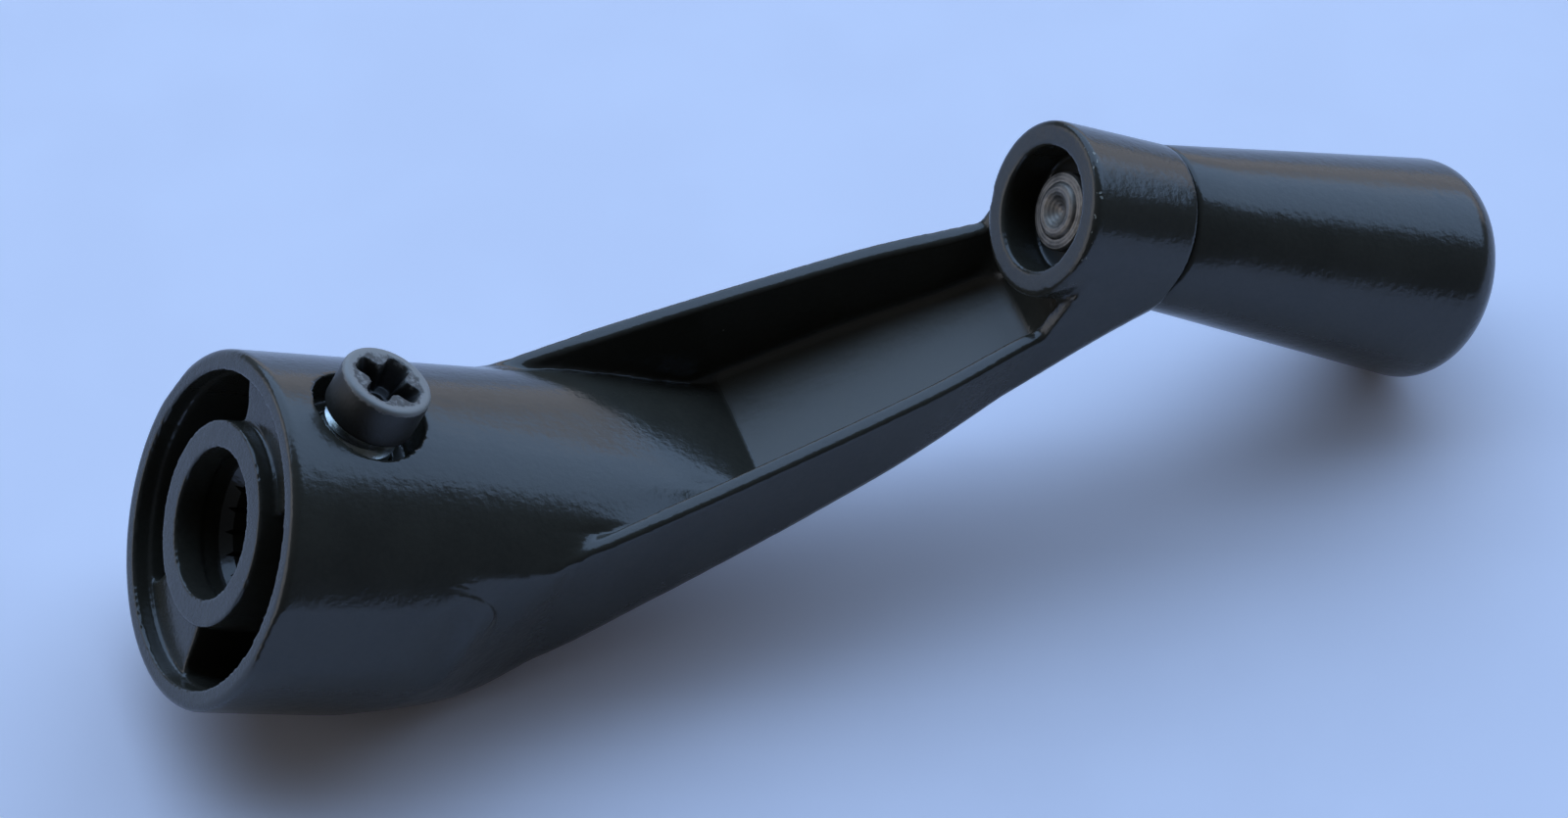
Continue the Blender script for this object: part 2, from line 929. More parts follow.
@dataclass(frozen=True)
class CrankForm:
    """Sizes and flowing lines that the whole crank shares."""

    crank_radius: float = 37.5
    boss_face_x: float = 46.9
    boss_length: float = 9.2
    boss_face_radius: float = 6.1
    boss_joint_radius: float = 5.7
    hub_radius: float = 12.2
    hub_lean: float = 3.4
    hub_lean_centre_x: float = 10.8
    blend_start_x: float = 10.0
    blend_end_x: float = 22.0
    blend_margin: float = 0.6
    arm_half_width_at_boss: float = 6.5
    arm_side_taper: float = 6.3
    arm_side_bulge: float = 0.35
    flush_at_boss: float = 0.45
    flush_length: float = 7.0
    flange_foot_x: float = 19.6
    flange_foot_z: float = 8.2
    flange_slope: float = 38.4
    flange_step_x: float = 48.4
    floor_foot_x: float = 36.0
    floor_foot_z: float = 12.4
    floor_slope: float = 45.8
    floor_thickness: float = 1.15
    floor_end_x: float = 50.9
    back_corner: float = 2.2
    back_blend: float = 10.0

    @property
    def joint_x(self) -> float:
        """Where the casting ends and the knob begins."""
        return self.boss_face_x + self.boss_length

    def lean_axis(self) -> Vector:
        """Direction of the hub shell's axis."""
        lean = math.radians(self.hub_lean)
        return Vector((math.cos(lean), 0, math.sin(lean)))

    def shell_centre_z(self, x: float) -> float:
        """Height of the hub shell's axis at x."""
        return (x - self.hub_lean_centre_x) * tan_deg(self.hub_lean)

    def flange_edge_z(self, x: float) -> float:
        """Height of the flanges' free edges, up the step at the knob boss.

        Args:
            x: Where along the arm.

        Returns:
            The height.
        """
        if x > self.flange_step_x:
            return self.crank_radius
        return self.flange_foot_z + (x - self.flange_foot_x) * tan_deg(self.flange_slope)

    def floor_z(self, x: float) -> float:
        """Height of the channel's floor at x."""
        return self.floor_foot_z + (x - self.floor_foot_x) * tan_deg(self.floor_slope)

    def back_z(self, x: float) -> float:
        """Height of the arm's back on the plane of symmetry.

        Args:
            x: Where along the arm.

        Returns:
            The height.
        """
        underside = self.shell_centre_z(x) - self.hub_radius - self.blend_margin
        slope = self.floor_z(x) - self.floor_thickness / math.cos(math.radians(self.floor_slope))
        overlap = max(self.back_blend - abs(underside - slope), 0.0)
        return max(underside, slope) + overlap * overlap / (4 * self.back_blend)

    def side_taper(self, x: float) -> float:
        """Half of the arm's width, as its sides taper and run flush into the knob boss.

        Args:
            x: Where along the arm.

        Returns:
            Half of the width.
        """
        step_x, foot_x = self.flange_step_x, self.flange_foot_x
        slope = tan_deg(self.arm_side_taper)
        along = (min(x, step_x) - foot_x) / (step_x - foot_x)
        bulge = 4 * self.arm_side_bulge * max(along * (1 - along), 0.0)
        boss_slope = (self.boss_face_radius - self.boss_joint_radius) / self.boss_length
        straight = self.arm_half_width_at_boss + (step_x - x) * slope
        flush = self.flush_at_boss * ease(step_x - self.flush_length, step_x, x)
        return straight + bulge - flush + max(x - step_x, 0.0) * (slope - boss_slope)

    def half_width(self, x: float) -> float:
        """Half of the arm's outer width at x."""
        start = self.hub_radius + self.blend_margin
        return start + (self.side_taper(x) - start) * ease(self.blend_start_x, self.blend_end_x, x)

    def corner(self, x: float) -> float:
        """Radius of the arm's lower corners.

        Args:
            x: Where along the arm.

        Returns:
            The radius.
        """
        share = ease(self.blend_start_x, self.blend_end_x, x)
        radius = self.hub_radius + (self.back_corner - self.hub_radius) * share
        end = ease(self.floor_end_x - 6.0, self.joint_x, x)
        radius += (self.boss_joint_radius - radius) * end * 0.8
        return min(radius, self.half_width(x) * 0.97)


@dataclass
class CrankArm:
    """The one-piece casting: hub, channelled arm and knob boss."""

    form: CrankForm
    finish: bpy.types.Material
    mouth_wall: float = 1.45
    lip_round: float = 0.5
    top_rise: float = 0.55
    crown_ease: float = 1.5
    web_recess: float = 1.3
    top_web_half: float = 37.0
    low_web_half: float = 23.0
    pocket_depth: float = 12.0
    pocket_corner: float = 0.9
    pocket_step: float = 0.15
    bore_boss_radius: float = 7.0
    entry_radius: float = 5.1
    entry_depth: float = 3.4
    grip_radius: float = 4.4
    grip_end_x: float = 19.0
    grip_wall: float = 1.1
    grip_end_wall: float = 0.6
    groove_count: int = 18
    groove_depth: float = 0.42
    flange_thickness: float = 1.35
    flange_round: float = 0.3
    channel_end_round: float = 1.5
    channel_foot_round: float = 0.7
    rim_round: float = 0.35
    counterbore_radius: float = 4.3
    counterbore_depth: float = 3.0
    pin_hole_radius: float = 2.05
    screw_x: float = 6.7
    screw_hole_radius: float = 4.0
    screw_seat_z: float = 8.7
    tapped_radius: float = 2.9
    stock_half: float = 10.0
    stock_corner: float = 4.0
    grain: float = 0.16
    skin_passes: int = 4
    most_triangles: int = 190_000
    blend_depth: float = 1.15
    crown_end_x: float = 36.5

    def leaning(self, radius: float, start: float, end: float) -> Workpiece:
        """Cylinder about the hub shell's axis.

        Args:
            radius: Its radius.
            start: Where it begins along the axis.
            end: Where it ends.

        Returns:
            The cylinder.
        """
        axis = self.form.lean_axis()
        centre = Vector((self.form.hub_lean_centre_x, 0, 0))
        middle = self.form.hub_lean_centre_x
        first = centre + axis * (start - middle)
        last = centre + axis * (end - middle)
        return Workpiece.cylinder(first, last, radius, 160)

    def hub(self) -> Workpiece:
        """Leaning round hub with a rounded lip at its mouth and a flat under the channel.

        Returns:
            The solid hub.
        """
        form = self.form
        hub = self.leaning(form.hub_radius, -form.hub_radius, form.floor_foot_x + 2.0)
        hub.trim((0, 0, 0), (-1, 0, 0))
        hub.trim((0, 0, form.hub_radius + self.top_rise), (0, 0, 1))
        hub.pick_edges(lambda a, b, bend: abs(a.x) < TOUCH and abs(b.x) < TOUCH)
        hub.bevel(self.lip_round, 4)
        return hub

    def stations(self) -> list[float]:
        """Places along X where the arm's section is set, with the step at the boss kept sharp."""
        step = self.form.flange_step_x
        return sorted({*spread(-1.0, self.form.joint_x, 48), step - 0.02, step + 0.02})

    def drawn_arm(self, start_x: float, edge_z: Callable[[float], float]) -> Workpiece:
        """Arm drawn through its stations from a bar with two rounded lower corners.

        Args:
            start_x: Where it begins.
            edge_z: Height of its upper edge at x.

        Returns:
            The solid arm, without its channel.
        """
        form = self.form
        half, corner, height = self.stock_half, self.stock_corner, 10.0
        inner = [x for x in self.stations() if start_x < x < form.joint_x]
        places = [start_x, *inner, form.joint_x]
        arm = Workpiece.box((start_x, -half, 0), (form.joint_x, half, height))
        arm.pick_edges(lambda a, b, bend: a.z < TOUCH and b.z < TOUCH and abs(a.x - b.x) > TOUCH)
        arm.bevel(corner, 8)
        for x in inner:
            arm.slice_at((x, 0, 0), (1, 0, 0))
        for x in places:
            share = form.corner(x) / corner
            wide, low, top = form.half_width(x), form.back_z(x), edge_z(x)
            for side in Side:
                sign = side.value
                arm.pick_points(
                    lambda p: abs(p.x - x) < TOUCH and p.y * sign > 0 and p.z < corner + TOUCH
                )
                arm.scale((1, share, share), (x, sign * half, 0))
                arm.pick_points(
                    lambda p: abs(p.x - x) < TOUCH and p.y * sign > 0 and p.z < height - TOUCH
                )
                arm.shift((0, sign * (wide - half), 0))
            arm.pick_points(lambda p: abs(p.x - x) < TOUCH and p.z < height - TOUCH)
            arm.shift((0, 0, low - PARKED))
            arm.pick_points(lambda p: abs(p.x - x) < TOUCH and abs(p.z - height) < TOUCH)
            arm.scale((1, wide / half, 1), (x, 0, height))
            arm.shift((0, 0, top - height + PARKED))
        arm.pick_points(lambda p: p.z < -PARKED / 2)
        arm.shift((0, 0, PARKED))
        arm.pick_points(lambda p: p.z > PARKED / 2)
        arm.shift((0, 0, -PARKED))
        arm.mend()
        return arm

    def channel(self) -> Workpiece:
        """Space between the flanges above the floor, with a rounded far end and soft foot.

        Returns:
            The space as a solid.
        """
        form = self.form
        start_x, height, half = form.blend_start_x + 2.0, 10.0, 5.0
        end_x, top = form.floor_end_x, form.crank_radius + form.hub_radius
        inner = spread(start_x, end_x, 24)
        space = Workpiece.box((start_x, -half, 0), (end_x, half, height))
        for x in inner[1:-1]:
            space.slice_at((x, 0, 0), (1, 0, 0))
        for x in inner:
            wide = (form.side_taper(x) - self.flange_thickness) / half
            space.pick_points(lambda p: abs(p.x - x) < TOUCH)
            space.scale((1, wide, 1), (x, 0, 0))
            space.pick_points(lambda p: abs(p.x - x) < TOUCH and p.z < TOUCH)
            space.shift((0, 0, form.floor_z(x) - PARKED))
        space.pick_points(lambda p: p.z < -PARKED / 2)
        space.shift((0, 0, PARKED))
        space.pick_points(lambda p: abs(p.z - height) < TOUCH)
        space.shift((0, 0, 2 * top))
        space.mend()
        last = end_x - TOUCH
        space.pick_edges(lambda a, b, bend: a.x > last and b.x > last and abs(a.z - b.z) > 1)
        space.bevel(self.channel_end_round, 6)
        space.pick_edges(
            lambda a, b, bend: bend > 40
            and abs(a.z - form.floor_z(a.x)) < 0.05
            and abs(b.z - form.floor_z(b.x)) < 0.05
            and min(a.x, b.x) > start_x + TOUCH
        )
        space.bevel(self.channel_foot_round, 4)
        return space

    def boss(self) -> Workpiece:
        """Tapering boss that carries the knob's pin.

        Returns:
            The solid boss.
        """
        form = self.form
        first = Vector((form.boss_face_x, 0, form.crank_radius))
        last = Vector((form.joint_x, 0, form.crank_radius))
        boss = Workpiece.cone(first, last, form.boss_face_radius, form.boss_joint_radius, 128)
        face_x = form.boss_face_x + TOUCH
        boss.pick_edges(lambda a, b, bend: a.x < face_x and b.x < face_x)
        boss.bevel(self.rim_round, 4)
        return boss

    def mouth_recess(self) -> Workpiece:
        """Shallow ring that sets the webs back from the mouth.

        Returns:
            The space as a solid.
        """
        ring = self.leaning(self.form.hub_radius - self.mouth_wall, -12.0, 4.0)
        ring.trim((self.web_recess, 0, 0), (1, 0, 0))
        ring.combine(Workpiece.along_x(self.bore_boss_radius, -20, 10), Join.CUT)
        return ring

    def pocket(self, side: Side) -> Workpiece:
        """Cored space beside the bore boss, between the two webs.

        Args:
            side: Which side of the plane of symmetry it is on.

        Returns:
            The space as a solid.
        """
        inner = self.bore_boss_radius
        outer = self.form.hub_radius - self.mouth_wall - self.pocket_step
        deselect_all()
        bpy.ops.mesh.primitive_plane_add(
            size=1.0,
            location=((self.pocket_depth - 1) / 2 * MM, 0, (inner + outer) / 2 * MM),
            rotation=(math.pi / 2, 0, 0),
        )
        bpy.context.active_object.scale = ((self.pocket_depth + 1) * MM, (outer - inner) * MM, 1)
        space = Workpiece.from_active()
        space.turn(-side.value * self.top_web_half, "X")
        sweep = math.radians(180 - self.top_web_half - self.low_web_half)
        space.pick_all()
        bpy.ops.mesh.spin(
            steps=48, angle=side.value * sweep, center=(0, 0, 0), axis=(1, 0, 0)
        )
        space.mend()
        space.pick_edges(lambda a, b, bend: bend > 35 and abs(a.x - b.x) > 1)
        space.bevel(self.pocket_corner, 4)
        middle = (inner + outer) / 2
        for x in (-1.0, self.pocket_depth):
            space.pick_points(lambda p: abs(p.x - x) < TOUCH and math.hypot(p.y, p.z) > middle)
            space.shift((0, 0, self.form.shell_centre_z(x)))
        return space

    def hollow(self, arm: Workpiece) -> None:
        """Cut every space out of the casting.

        Args:
            arm: The solid casting.
        """
        form = self.form
        arm.combine(self.mouth_recess(), Join.CUT)
        for side in Side:
            arm.combine(self.pocket(side), Join.CUT)
        arm.combine(Workpiece.along_x(self.entry_radius, -2, self.entry_depth), Join.CUT)
        liner_seat = self.grip_radius + self.grip_wall - 0.2
        arm.combine(Workpiece.along_x(liner_seat, 2, self.grip_end_x), Join.CUT)
        seat = Vector((self.screw_x, 0, self.screw_seat_z))
        above = Vector((self.screw_x, 0, form.hub_radius * 2))
        arm.combine(Workpiece.cylinder(seat, above, self.screw_hole_radius), Join.CUT)
        inside, into_seat = Vector((self.screw_x, 0, 0)), seat + Vector((0, 0, 1))
        arm.combine(Workpiece.cylinder(inside, into_seat, self.tapped_radius), Join.CUT)
        face_x, z = form.boss_face_x, form.crank_radius
        bottom_x = face_x + self.counterbore_depth
        arm.combine(Workpiece.along_x(self.counterbore_radius, face_x - 1, bottom_x, z), Join.CUT)
        arm.combine(Workpiece.along_x(self.pin_hole_radius, face_x, form.joint_x + 1, z), Join.CUT)

    def round_flanges(self, arm: Workpiece, half_width: Callable[[float], float]) -> None:
        """Round the flanges' free edges that lie at a half width.

        Args:
            arm: The arm.
            half_width: Gives the half width at x.
        """
        last = self.form.flange_step_x - 0.1

        def on_edge(p: Vector) -> bool:
            """Whether a place lies on the free edges."""
            at_top = abs(p.z - self.form.flange_edge_z(p.x)) < 0.02
            return p.x < last + 0.09 and at_top and abs(abs(p.y) - half_width(p.x)) < 0.02

        arm.pick_edges(lambda a, b, bend: on_edge(a) and on_edge(b) and abs(a.x - b.x) > TOUCH)
        arm.bevel(self.flange_round, 3)

    def casting(self) -> Workpiece:
        """Model the whole casting.

        Returns:
            The casting before it is softened.
        """
        form = self.form
        high = form.crank_radius + form.hub_radius
        hub = self.hub()
        hub.combine(self.drawn_arm(-1.5, lambda x: high), Join.KEEP_COMMON)
        arm = self.drawn_arm(form.flange_foot_x, form.flange_edge_z)
        self.round_flanges(arm, form.half_width)
        arm.combine(self.channel(), Join.CUT)
        self.round_flanges(arm, lambda x: form.side_taper(x) - self.flange_thickness)
        arm.combine(hub, Join.ADD)
        arm.combine(self.boss(), Join.ADD)
        self.hollow(arm)
        arm.mend()
        return arm

    def grip(self) -> Workpiece:
        """The serrated inner part of the bore, kept crisp.

        Returns:
            The liner that holds the grooves.
        """
        start_x = self.entry_depth - 0.05
        grip = Workpiece.along_x(self.grip_radius + self.grip_wall, start_x, self.grip_end_x)
        per_groove = 8
        sides, end_x = self.groove_count * per_groove, self.grip_end_x - self.grip_end_wall
        cutter = Workpiece.along_x(self.grip_radius, start_x - 1, end_x, 0.0, sides)
        pitch = 2 * math.pi / self.groove_count

        def on_groove(p: Vector) -> bool:
            """Whether a place lies in the middle of a groove."""
            turn = math.atan2(p.y, p.z) / pitch
            return abs(turn - round(turn)) < 0.5 / per_groove

        cutter.pick_points(on_groove)
        deeper = 1 + self.groove_depth / self.grip_radius
        cutter.scale((1, deeper, deeper), (0, 0, 0))
        lead = self.entry_radius - self.grip_radius
        grip.combine(cutter, Join.CUT)
        first, last = Vector((start_x - 0.2, 0, 0)), Vector((start_x + lead, 0, 0))
        grip.combine(
            Workpiece.cone(first, last, self.entry_radius + 0.2, self.grip_radius), Join.CUT
        )
        low, high = Vector((self.screw_x, 0, 0)), Vector((self.screw_x, 0, self.screw_seat_z))
        grip.combine(Workpiece.cylinder(low, high, self.tapped_radius), Join.CUT)
        grip.mend()
        return grip

    def blend_joins(self, arm: Workpiece) -> None:
        """Flow the hub, the arm's sides and the flanges' edges into each other.

        Args:
            arm: The softened casting.
        """
        arm.relax(
            lambda p: 6.0 < p.x < 17.0
            and self.outside(p, self.blend_depth)
            and self.on_lower_side(p),
            24,
        )
        for start_x, end_x in zip(spread(17.5, 13.0, 9), spread(24.0, 36.0, 9)):
            arm.relax(lambda p: start_x < p.x < end_x and self.on_lower_side(p), 18)
        for reach in (2.0, 3.0, 4.0, 5.5, 7.0):
            arm.relax(lambda p: self.at_flange_tip(p, reach), 6)
        for reach in (0.5, 1.5, 3.0):
            arm.relax(lambda p: self.at_riser(p, reach), 4)
        arm.settle(self.crown_drop)
        arm.relax(lambda p: 13.0 < p.x < 31.0 and self.on_crown(p), 80)

    def on_lower_side(self, p: Vector) -> bool:
        """Whether a place is where the hub's side runs into the arm's, below the flange.

        Args:
            p: The place.

        Returns:
            True outside the bore's liner and below the flange's edge.
        """
        if p.x < self.grip_end_x + 0.6 and math.hypot(p.y, p.z) < self.bore_boss_radius - 1.0:
            return False
        edge_z = self.form.flange_edge_z(max(p.x, self.form.flange_foot_x))
        return p.z < edge_z - 0.9 + 1.5 * (1 - ease(15.0, 19.0, p.x))

    def at_flange_tip(self, p: Vector, reach: float) -> bool:
        """Whether a place is within reach of the pointed foot of a flange."""
        foot_x = self.form.flange_foot_x
        return foot_x - 1.5 < p.x < foot_x + reach and 6.0 < p.z < 13.0 and abs(p.y) > 6.5

    def at_riser(self, p: Vector, reach: float) -> bool:
        """Whether a place is near where a flange steps up to the knob boss.

        Args:
            p: The place.
            reach: How far down the flange it may be.

        Returns:
            True where the riser is smoothed.
        """
        step_x, top_z = self.form.flange_step_x, self.form.crank_radius
        along = step_x - reach < p.x < step_x + 6.0
        return along and abs(p.y) > 4.4 and top_z - 8.0 - reach * 0.5 < p.z < top_z - 3.0

    def crown_drop(self, p: Vector) -> float:
        """How far a point of the hub's top is let down where the round turns flat.

        Args:
            p: The point.

        Returns:
            The drop.
        """
        if p.x > self.crown_end_x or not self.on_crown(p):
            return 0.0
        radius, ease_depth = self.form.hub_radius, self.crown_ease
        shell_top = self.form.shell_centre_z(p.x) + math.sqrt(max(radius**2 - p.y**2, 0.0))
        overlap = max(ease_depth - abs(shell_top - radius - self.top_rise), 0.0)
        return overlap**2 / (4 * ease_depth) * (1 - ease(30.0, 35.0, p.x))

    def outside(self, p: Vector, depth: float = 0.6) -> bool:
        """Whether a place is within a depth of the hub's full round."""
        off_axis = math.hypot(p.y, p.z - self.form.shell_centre_z(p.x))
        return off_axis > self.form.hub_radius - depth

    def on_crown(self, p: Vector) -> bool:
        """Whether a place is on the hub's top, clear of the channel's floor and flanges.

        Args:
            p: The place.

        Returns:
            True where the crown is let down and smoothed.
        """
        form = self.form
        if abs(p.y) > form.side_taper(p.x) - self.flange_thickness - 0.6:
            return False
        return p.z > 9.0 and self.outside(p) and p.z > form.floor_z(p.x) + 0.8

    def build(self) -> list[bpy.types.Object]:
        """Model and dress the casting.

        Returns:
            The casting and its serrated grip.
        """
        arm = self.casting()
        arm.soften(self.grain, self.skin_passes, self.most_triangles)
        self.blend_joins(arm)
        skin = Dressing("crank_casting", "arm", "crank_arm", "arm_enamel", self.finish)
        grip = Dressing("bore_grip", "arm", "crank_arm", "arm_enamel", self.finish)
        return [skin.put_on(arm, 60.0), grip.put_on(self.grip())]


@dataclass
class ClampScrew:
    """Cross-recessed clamp screw with a painted head and a plated thread."""

    head_finish: bpy.types.Material
    thread_finish: bpy.types.Material
    x: float = 6.7
    top_z: float = 14.7
    head_radius: float = 3.2
    head_height: float = 3.2
    edge_round: float = 0.35
    foot_round: float = 0.15
    recess_width: float = 1.75
    recess_length: float = 4.9
    recess_depth: float = 1.9
    recess_turn: float = 50.0
    crest_radius: float = 2.68
    root_radius: float = 2.2
    pitch: float = 0.8
    length: float = 7.0
    grain: float = 0.07
    skin_passes: int = 5
    most_triangles: int = 120_000

    def head(self) -> Workpiece:
        """Head with softened edges and a tapered cross recess.

        Returns:
            The head.
        """
        low = self.top_z - self.head_height
        first, last = Vector((self.x, 0, low)), Vector((self.x, 0, self.top_z))
        head = Workpiece.cylinder(first, last, self.head_radius, 128)
        top = self.top_z - TOUCH
        head.pick_edges(lambda a, b, bend: a.z > top and b.z > top)
        head.bevel(self.edge_round, 5)
        head.pick_edges(lambda a, b, bend: a.z < low + TOUCH and b.z < low + TOUCH)
        head.bevel(self.foot_round, 3)
        for turn in (self.recess_turn, self.recess_turn + 90):
            head.combine(self.recess_arm(turn), Join.CUT)
        bottom = Vector((self.x, 0, self.top_z - self.recess_depth - 0.3))
        mouth = Vector((self.x, 0, self.top_z + 0.2))
        head.combine(Workpiece.cone(bottom, mouth, 0.5, 1.5, 48), Join.CUT)
        head.mend()
        head.soften(self.grain, self.skin_passes, self.most_triangles)
        return head

    def recess_arm(self, turn: float) -> Workpiece:
        """One tapered bar of the cross, turned about the screw's axis.

        Args:
            turn: Angle from +X in degrees.

        Returns:
            The bar as a solid.
        """
        half_length, half_width = self.recess_length / 2, self.recess_width / 2
        low = self.top_z - self.recess_depth
        bar = Workpiece.box(
            (self.x - half_length, -half_width, low),
            (self.x + half_length, half_width, self.top_z + 0.3),
        )
        bar.pick_points(lambda p: p.z < low + TOUCH)
        bar.scale((0.62, 0.62, 1), (self.x, 0, low))
        bar.pick_edges(lambda a, b, bend: abs(a.z - b.z) > 1)
        bar.bevel(0.4, 4)
        bar.turn(turn, "Z", (self.x, 0, 0))
        return bar

    def thread(self) -> Workpiece:
        """Helical thread below the head, cut square above and below.

        Returns:
            The thread with its core.
        """
        turns = int(self.length / self.pitch) + 3
        steps = 40 * turns
        low = self.top_z - self.head_height - self.length
        start = Vector((self.x + self.root_radius, 0, low - 1.5 * self.pitch))
        deselect_all()
        bpy.ops.mesh.primitive_plane_add(size=self.pitch * MM, location=start * MM)
        ridge = Workpiece.from_active()
        ridge.pick_points(lambda p: p.x < start.x)
        bpy.ops.mesh.delete(type="VERT")
        ridge.pick_all()
        bpy.ops.mesh.subdivide(number_cuts=3)
        mesh = bmesh.from_edit_mesh(ridge.obj.data)
        crest = self.crest_radius - self.root_radius
        for vert in mesh.verts:
            along = vert.co.y / MM / self.pitch + 0.5
            out = crest * min(max(1.6 - abs(along - 0.5) * 5.2, 0.0), 1.0)
            vert.co = Vector((start.x + out, 0, start.z + along * self.pitch)) * MM
        bmesh.update_edit_mesh(ridge.obj.data)
        ridge.pick_all()
        ridge.shift((-self.x, 0, 0))
        deselect_all()
        ridge.modify(
            "SCREW",
            axis="Z",
            angle=2 * math.pi * turns,
            screw_offset=self.pitch * turns * MM,
            steps=steps,
            render_steps=steps,
            use_merge_vertices=True,
            merge_threshold=0.002 * MM,
        )
        ridge.mend()
        ridge.shift((self.x, 0, 0))
        ridge.trim((0, 0, self.top_z - self.head_height + 0.3), (0, 0, 1))
        ridge.trim((0, 0, low), (0, 0, -1))
        ridge.mend()
        return ridge

    def build(self) -> list[bpy.types.Object]:
        """Model and dress the screw.

        Returns:
            Its head and its thread.
        """
        head = Dressing("clamp_screw_head", "screw", "set_screw", "screw_enamel", self.head_finish)
        thread = Dressing(
            "clamp_screw_thread", "screw", "set_screw", "screw_enamel", self.thread_finish
        )
        return [head.put_on(self.head(), 60.0), thread.put_on(self.thread())]


@dataclass
class SpinningKnob:
    """Knob that flares from the joint to a rounded end."""

    form: CrankForm
    finish: bpy.types.Material
    end_play: float = 0.1
    length: float = 27.5
    base_radius: float = 5.65
    end_radius: float = 8.2
    crown: float = 0.9
    end_round: float = 2.9
    base_round: float = 0.35
    half_corner: float = 41.5

    def crown_rise(self, radius: float) -> float:
        """How far the crowned end stands out at a radius from its middle."""
        sphere = (self.end_radius**2 + self.crown**2) / (2 * self.crown)
        return math.sqrt(sphere**2 - radius**2) - (sphere - self.crown)

    def build(self) -> list[bpy.types.Object]:
        """Model and dress the knob.

        Returns:
            The finished knob.
        """
        start = self.form.joint_x + self.end_play
        shoulder = start + self.length - self.crown
        z, flare = self.form.crank_radius, self.end_radius - self.base_radius
        side = [
            (x, self.base_radius + flare * (x - start) / (shoulder - start))
            for x in spread(start, shoulder, 8)
        ]
        end = [(shoulder + self.crown_rise(r), r) for r in (4.0, 2.0, 0.6)]
        knob = Workpiece.disc(Vector((start, 0, z)), Vector((-1, 0, 0)), self.base_radius, 160)
        knob.lathe([*side, *end], z)
        knob.mend()
        end_width = self.end_round * tan_deg(self.half_corner)
        for x, width, segments in ((shoulder, end_width, 14), (start, self.base_round, 4)):
            knob.pick_edges(lambda a, b, bend: abs(a.x - x) < TOUCH and abs(b.x - x) < TOUCH)
            knob.bevel(width, segments)
        knob.mend()
        return [Dressing("spinning_knob", "knob", "knob", "knob_enamel", self.finish).put_on(knob)]


@dataclass
class RivetedPin:
    """Pin fixed in the knob, riveted over in the boss with a ring and a dimple on its end."""

    form: CrankForm
    finish: bpy.types.Material
    face_x: float = 48.1
    seat_x: float = 49.8
    shank_radius: float = 1.8
    head_radius: float = 2.75
    ring_radius: float = 1.75
    ring_height: float = 0.25
    dimple_radius: float = 1.2
    dimple_depth: float = 0.7
    shank_end_x: float = 70.1

    def build(self) -> list[bpy.types.Object]:
        """Model and dress the pin.

        Returns:
            The finished pin.
        """
        z, face, step = self.form.crank_radius, self.face_x, self.ring_height
        rings = [
            (face + self.dimple_depth, 0.1),
            (face + self.dimple_depth * 0.6, self.dimple_radius * 0.5),
            (face + self.dimple_depth * 0.25, self.dimple_radius * 0.85),
            (face, self.dimple_radius * 1.08),
            (face, self.ring_radius * 0.95),
            (face + step * 0.4, self.ring_radius + step * 0.5),
            (face + step, self.ring_radius + step),
            (face + step, self.head_radius - step * 1.4),
            (face + step * 1.3, self.head_radius - step * 0.5),
            (face + step * 2, self.head_radius),
            (self.seat_x, self.head_radius),
            (self.seat_x, self.shank_radius),
            (self.shank_end_x, self.shank_radius),
            (self.shank_end_x, 0.3),
        ]
        first_x, first_radius = rings[0]
        pin = Workpiece.disc(Vector((first_x, 0, z)), Vector((-1, 0, 0)), first_radius, 96)
        pin.lathe(rings, z)
        pin.mend()
        return [Dressing("riveted_pin", "knob", "knob_pin", "pin_steel", self.finish).put_on(pin)]


@dataclass(frozen=True)
class Lamp:
    """A soft rectangular lamp, in metres to the right of, beyond and above the handle."""

    name: str
    place: Triple
    size: tuple[float, float]
    colour: Colour
    level: float
    faces_down: bool = False


